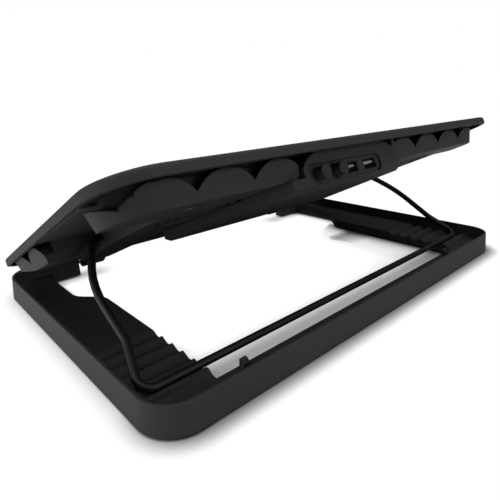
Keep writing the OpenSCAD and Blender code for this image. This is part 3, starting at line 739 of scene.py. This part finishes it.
@dataclass(frozen=True)
class FloorPaper:
    """The floor's white paper, with a painted shadow of what stands close above it.

    Camera and glossy rays see a glow, into which a shadow is painted from
    occlusion near the pad, not cast by the lamps; other rays see a matt grey.
    Reaches are how far off the painted shadow starts, depths how dark it gets,
    and mirrors how bright a glossy ray finds the paper, a painted reflection.
    Spans run along X or Y, in metres.
    """

    grey: float = 0.45
    roughness: float = 0.9
    specular: float = 0.1
    faint: float = 0.03
    samples: int = 24
    inner_half: tuple[float, float] = (0.15, 0.1)
    lean: Grade = Grade(MASK, 0.3, -0.3)
    rise: float = 0.9
    outer_reach: float = 0.013
    rear_reach: Grade = Grade((0.03, 0.07), 0.002, 0.024)
    right_reach: Grade = Grade((-0.05, -0.01), 0.004, 0.062)
    right_span: tuple[float, float] = (-0.06, -0.11)
    mirror_reach: Grade = Grade(MASK, 0.0, 0.2)
    outer_depth: Grade = Grade((0.08, 0.12), 1.2, 3.6)
    inner_depth: float = 3.2
    mirror_depth: float = 1.5
    # The mirrors paint the reflection that glossy rays find on the paper.
    front_mirror: Grade = Grade((-0.35, -0.12), 0.4, 1.25)
    back_mirror: Grade = Grade((-0.1, 0.16), 1.25, 0.8)
    under_mirror: Grade = Grade((-0.05, -0.2), 0.06, 0.8)
    rear_mirror: float = 0.55
    rear_span: tuple[float, float] = (0.1, 0.13)
    beside_span: tuple[float, float] = (0.16, 0.2)

    def material(self) -> bpy.types.Material:
        """Makes the paper's material.

        Returns:
            The material.
        """
        mat = bpy.data.materials.new("floor_paper")
        mat.use_nodes = True
        nodes, links = mat.node_tree.nodes, mat.node_tree.links
        maths = ShaderMaths(mat.node_tree)
        matt, put = nodes["Principled BSDF"], nodes["Material Output"]
        matt.inputs["Base Color"].default_value = (self.grey, self.grey, self.grey, 1.0)
        matt.inputs["Roughness"].default_value = self.roughness
        matt.inputs["Specular IOR Level"].default_value = self.specular
        where = nodes.new("ShaderNodeSeparateXYZ")
        links.new(nodes.new("ShaderNodeTexCoord").outputs["Object"], where.inputs["Vector"])
        x, y = where.outputs["X"], where.outputs["Y"]
        path = nodes.new("ShaderNodeLightPath")
        glossy = path.outputs["Is Glossy Ray"]
        inside = maths.combine("MULTIPLY", *(
            maths.combine("LESS_THAN", maths.combine("ABSOLUTE", axis), half)
            for axis, half in zip((x, y), self.inner_half)))
        # shade is the painted shadow, taken from occlusion near the pad.
        shade = self._painted_shadow(mat.node_tree, x, y, inside, glossy)
        # mirror is the painted reflection brightness that glossy rays find.
        mirror = maths.grade(glossy, MASK, 1.0, self._painted_reflection(maths, x, y))
        glow = nodes.new("ShaderNodeEmission")
        links.new(maths.combine("MULTIPLY", shade, mirror), glow.inputs["Strength"])
        faint = nodes.new("ShaderNodeBsdfDiffuse")
        faint.inputs["Color"].default_value = (self.faint, self.faint, self.faint, 1.0)
        both = nodes.new("ShaderNodeAddShader")
        pick = nodes.new("ShaderNodeMixShader")
        seen = maths.combine("MAXIMUM", path.outputs["Is Camera Ray"], glossy)
        links.new(glow.outputs["Emission"], both.inputs[0])
        links.new(faint.outputs["BSDF"], both.inputs[1])
        links.new(seen, pick.inputs["Fac"])
        links.new(matt.outputs["BSDF"], pick.inputs[1])
        links.new(both.outputs["Shader"], pick.inputs[2])
        links.new(pick.outputs["Shader"], put.inputs["Surface"])
        return mat

    def _painted_shadow(self, tree: bpy.types.ShaderNodeTree, x: bpy.types.NodeSocket,
               y: bpy.types.NodeSocket, inside: bpy.types.NodeSocket,
               glossy: bpy.types.NodeSocket) -> bpy.types.NodeSocket:
        """Makes the painted shadow: the share of the glow left by occlusion near the pad.

        Args:
            tree: The paper's tree.
            x: Place along X.
            y: Place along Y.
            inside: On within the base's opening.
            glossy: On for a glossy ray.

        Returns:
            The share's output.
        """
        maths = ShaderMaths(tree)
        lean = tree.nodes.new("ShaderNodeCombineXYZ")
        tree.links.new(maths.follow(inside, self.lean), lean.inputs["X"])
        lean.inputs["Z"].default_value = self.rise
        reach = maths.grade(x, self.right_span, maths.follow(y, self.rear_reach),
                            maths.follow(y, self.right_reach))
        reach = maths.grade(inside, MASK, self.outer_reach, reach)
        farther = maths.combine("MULTIPLY", glossy, maths.follow(inside, self.mirror_reach))
        # This occlusion paints the shadow into the glow.
        near = tree.nodes.new("ShaderNodeAmbientOcclusion")
        near.samples = self.samples
        tree.links.new(lean.outputs["Vector"], near.inputs["Normal"])
        tree.links.new(maths.combine("ADD", reach, farther), near.inputs["Distance"])
        depth = maths.grade(inside, MASK, maths.follow(y, self.outer_depth), self.inner_depth)
        depth = maths.grade(glossy, MASK, depth, self.mirror_depth)
        return maths.combine("POWER", near.outputs["AO"], depth)

    def _painted_reflection(self, maths: ShaderMaths, x: bpy.types.NodeSocket,
                y: bpy.types.NodeSocket) -> bpy.types.NodeSocket:
        """Makes the painted reflection: the brightness that glossy rays find, low under the pad
        and higher beside and beyond it.

        Args:
            maths: The paper's maths.
            x: Place along X.
            y: Place along Y.

        Returns:
            The brightness's output.
        """
        beside = maths.combine(
            "MINIMUM", maths.follow(y, self.front_mirror), maths.follow(y, self.back_mirror))
        below = maths.grade(
            y, self.rear_span, maths.follow(x, self.under_mirror), self.rear_mirror)
        return maths.grade(x, self.beside_span, below, beside)


@dataclass(frozen=True)
class Lamp:
    """A square soft box: its place, the point that it faces, its side and its power in watts."""

    name: str
    place: tuple[float, float, float]
    aim: tuple[float, float, float]
    size: float
    power: float

    def build(self) -> None:
        """Hangs the lamp."""
        data = bpy.data.lights.new(self.name, "AREA")
        data.shape = "SQUARE"
        data.size = self.size
        data.energy = self.power
        obj = bpy.data.objects.new(self.name, data)
        turn = (Vector(self.aim) - Vector(self.place)).to_track_quat("-Z", "Y")
        obj.matrix_world = Matrix.Translation(Vector(self.place)) @ turn.to_matrix().to_4x4()
        bpy.context.scene.collection.objects.link(obj)


@dataclass
class Studio:
    """Floor, light and camera. Yaw turns from +Y towards +X, in degrees."""

    eye: tuple[float, float, float] = (0.2585, 0.2623, 0.1512)
    yaw: float = 221.754
    pitch: float = -19.818
    roll: float = 1.844
    lens: float = 31.23
    sensor: float = 36.0
    clip_start: float = 0.01
    floor_half: float = 6.0
    ambient: float = 0.16
    gloss: Grade = Grade((0.5, 0.85), 0.12, 0.58)
    lamps: tuple[Lamp, ...] = (
        Lamp("overhead", (0.1, -0.1, 1.6), (0.0, 0.0, 0.05), 1.2, 9.0),
        Lamp("rear", (-0.3, 1.3, 0.5), (0.0, 0.1, 0.05), 0.6, 3.6),
        Lamp("left", (1.4, -0.5, 0.4), (0.15, 0.0, 0.05), 0.6, 5.0),
    )

    def camera(self) -> None:
        """Sets the camera at the photograph's place and angle."""
        yaw, pitch, roll = (math.radians(v) for v in (self.yaw, self.pitch, self.roll))
        flat = math.cos(pitch)
        ahead = Vector((math.sin(yaw) * flat, math.cos(yaw) * flat, math.sin(pitch)))
        level = Vector((math.cos(yaw), -math.sin(yaw), 0.0))
        down = ahead.cross(level)
        right = math.cos(roll) * level + math.sin(roll) * down
        below = -math.sin(roll) * level + math.cos(roll) * down
        data = bpy.data.cameras.new("camera")
        data.sensor_width = self.sensor
        data.lens = self.lens
        data.clip_start = self.clip_start
        cam = bpy.data.objects.new("camera", data)
        turn = Matrix((right, -below, -ahead)).transposed().to_4x4()
        cam.matrix_world = Matrix.Translation(Vector(self.eye)) @ turn
        bpy.context.scene.collection.objects.link(cam)
        bpy.context.scene.camera = cam

    def floor(self) -> None:
        """Lays the white floor, whose paper carries a painted shadow and a painted reflection."""
        bm = bmesh.new()
        bmesh.ops.create_grid(bm, x_segments=1, y_segments=1, size=self.floor_half)
        mesh = bpy.data.meshes.new("floor")
        bm.to_mesh(mesh)
        bm.free()
        mesh.materials.append(FloorPaper().material())
        obj = bpy.data.objects.new("floor", mesh)
        bpy.context.scene.collection.objects.link(obj)

    def world(self) -> None:
        """Fills the surroundings with white, which glossy rays find brighter higher up."""
        world = bpy.data.worlds.new("studio")
        bpy.context.scene.world = world
        world.use_nodes = True
        nodes, links = world.node_tree.nodes, world.node_tree.links
        maths = ShaderMaths(world.node_tree)
        back = nodes["Background"]
        back.inputs["Color"].default_value = (1.0, 1.0, 1.0, 1.0)
        path = nodes.new("ShaderNodeLightPath")
        height = nodes.new("ShaderNodeSeparateXYZ")
        links.new(nodes.new("ShaderNodeTexCoord").outputs["Generated"], height.inputs["Vector"])
        sky = maths.follow(height.outputs["Z"], self.gloss)
        level = maths.grade(path.outputs["Is Glossy Ray"], MASK, self.ambient, sky)
        seen = maths.combine("MAXIMUM", path.outputs["Is Camera Ray"], level)
        links.new(seen, back.inputs["Strength"])

    def build(self) -> None:
        """Builds the studio."""
        self.camera()
        self.floor()
        self.world()
        for lamp in self.lamps:
            lamp.build()
        bpy.context.scene.view_settings.view_transform = "Standard"


def main() -> None:
    """Builds the studio and dresses the pad, body by body."""
    logging.basicConfig(level=logging.INFO)
    Studio().build()
    DressedNodes("base", {
        "base_frame": (BASE_PLASTIC, 0.4 * MM),
        "base_feet": (RUBBER, 0.3 * MM),
        "hinge_pins": (STEEL, 0.2 * MM),
    }).build()
    DressedNodes("tray", {
        "lower_housing": (TRAY_PLASTIC, 0.5 * MM),
        "mesh_panel": (MESH_PAINT, 0.0),
        "grip_pads": (RUBBER, 0.3 * MM),
        "fan_frame_right": (FAN_PLASTIC, 0.0),
        "fan_frame_left": (FAN_PLASTIC, 0.0),
        "fan_stators": (COIL, 0.0),
        "fan_leads": (RUBBER, 0.0),
        "control_box": (TRAY_PLASTIC, 0.4 * MM),
        "control_panel": (TRAY_PLASTIC, 0.2 * MM),
        "knob_control": (FAN_PLASTIC, 0.0),
        "button_switch": (FAN_PLASTIC, 0.0),
        "circuit_board": (BOARD, 0.0),
        # The USB shells' darkened metal is painted shade of the recessed ports.
        "usb_shells": (NICKEL_PAINTED_SHADE, 0.15 * MM),
        "usb_tongues": (TONGUE, 0.0),
        "stop_pins": (STEEL, 0.0),
        "housing_screws": (STEEL, 0.0),
    }).build()
    ToothRack("tooth_rack_right", 1).build()
    ToothRack("tooth_rack_left", -1).build()
    TopPlate().build()
    WireStand().build()
    DressedNodes("right_rotor", {"fan_rotor_right": (FAN_PLASTIC, 0.0)}).build()
    DressedNodes("left_rotor", {"fan_rotor_left": (FAN_PLASTIC, 0.0)}).build()
    ControlPeg("speed_knob", "knob", 55.3 * MM).build()
    ControlPeg("power_button", "button", 38.3 * MM).build()
    DressedNodes("right_stop", {"stop_right": (TRAY_PLASTIC, 0.4 * MM)}).build()
    DressedNodes("left_stop", {"stop_left": (TRAY_PLASTIC, 0.4 * MM)}).build()


if __name__ == "__main__":
    main()
